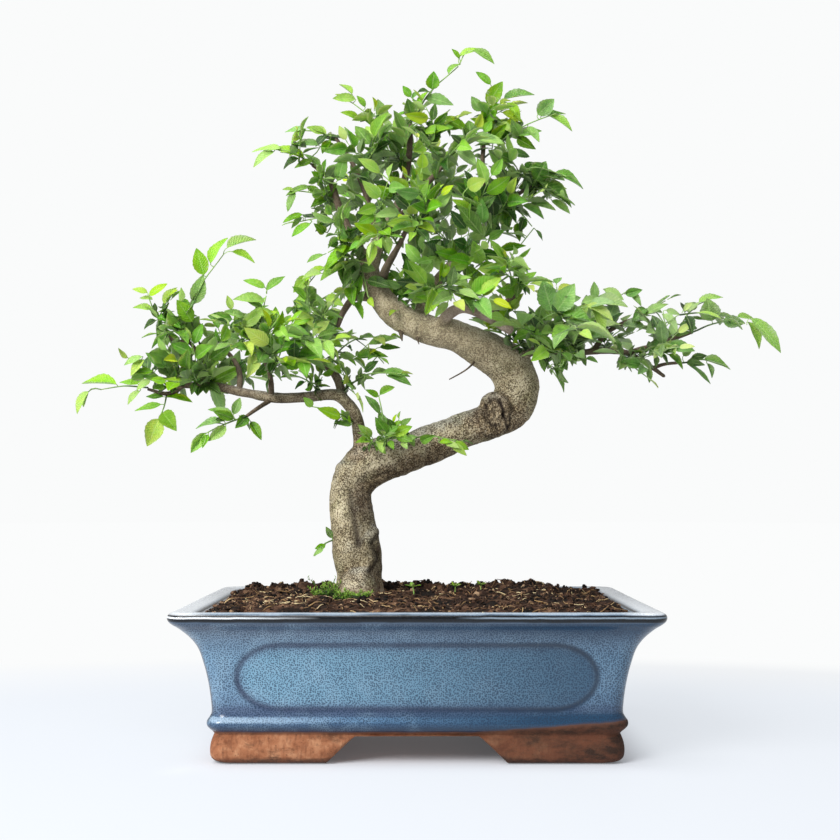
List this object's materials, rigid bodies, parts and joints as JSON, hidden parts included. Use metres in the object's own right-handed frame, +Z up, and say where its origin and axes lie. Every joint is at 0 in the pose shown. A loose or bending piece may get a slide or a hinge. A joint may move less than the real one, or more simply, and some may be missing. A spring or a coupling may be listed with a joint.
{
  "type": "chinese elm bonsai",
  "caption": "Miniature elm tree with an S-shaped trunk and leafy pads, growing in a mound of soil in a flared rectangular glazed tray pot on corner feet.",
  "frame": {"origin": "middle of the pot's underside, on the surface that the pot stands on", "axes": "+X along the pot's length, to the right as seen from the front; +Y towards the back; +Z up"},
  "size_m": [0.4276, 0.2, 0.4183],
  "materials": {
    "glazed_pot": "gloss",
    "mesh_plastic": "matte",
    "peat": "matte",
    "bark": "matte",
    "leaf": "satin",
    "seedling_leaf": "satin",
    "moss": "matte"
  },
  "bodies": {
    "root": {"pot": "glazed_pot", "drainage_mesh_left": "mesh_plastic", "drainage_mesh_right": "mesh_plastic", "soil": "peat", "trunk_and_branches": "bark", "moss_tuft_left": "moss", "moss_tuft_front": "moss", "seedling_left": "seedling_leaf", "seedling_right": "seedling_leaf", "seedling_back": "seedling_leaf", "left_tip_shoot": "leaf", "left_hanging_shoot": "leaf", "left_tall_shoot": "leaf", "left_corner_shoot": "leaf", "left_end_shoot": "leaf", "left_young_shoot": "leaf", "left_bright_shoot": "leaf", "left_upper_shoot": "leaf", "left_inner_shoot": "leaf", "left_right_shoot": "leaf", "left_under_shoot": "leaf", "left_back_low_shoot": "leaf", "left_back_high_shoot": "leaf", "left_back_right_shoot": "leaf", "fork_cluster": "leaf", "fork_runner": "leaf", "fork_left_shoot": "leaf", "trunk_sprout": "leaf", "right_tip_shoot": "leaf", "right_tip_upper_shoot": "leaf", "right_low_tip_shoot": "leaf", "right_under_shoot": "leaf", "right_high_shoot": "leaf", "right_middle_shoot": "leaf", "right_great_shoot": "leaf", "right_drooping_shoot": "leaf", "right_back_shoot": "leaf", "crown_top_shoot": "leaf", "crown_top_left_shoot": "leaf", "crown_left_high_shoot": "leaf", "crown_left_long_shoot": "leaf", "crown_left_middle_shoot": "leaf", "crown_left_front_shoot": "leaf", "crown_top_right_shoot": "leaf", "crown_right_high_shoot": "leaf", "crown_right_long_shoot": "leaf", "crown_right_middle_shoot": "leaf", "crown_front_right_shoot": "leaf", "crown_front_middle_shoot": "leaf", "crown_front_left_shoot": "leaf", "crown_front_low_shoot": "leaf", "crown_low_bright_shoot": "leaf", "crown_low_right_shoot": "leaf", "crown_back_left_shoot": "leaf", "crown_back_right_shoot": "leaf", "crown_back_top_shoot": "leaf", "crown_back_low_shoot": "leaf"}
  },
  "joints": []
}
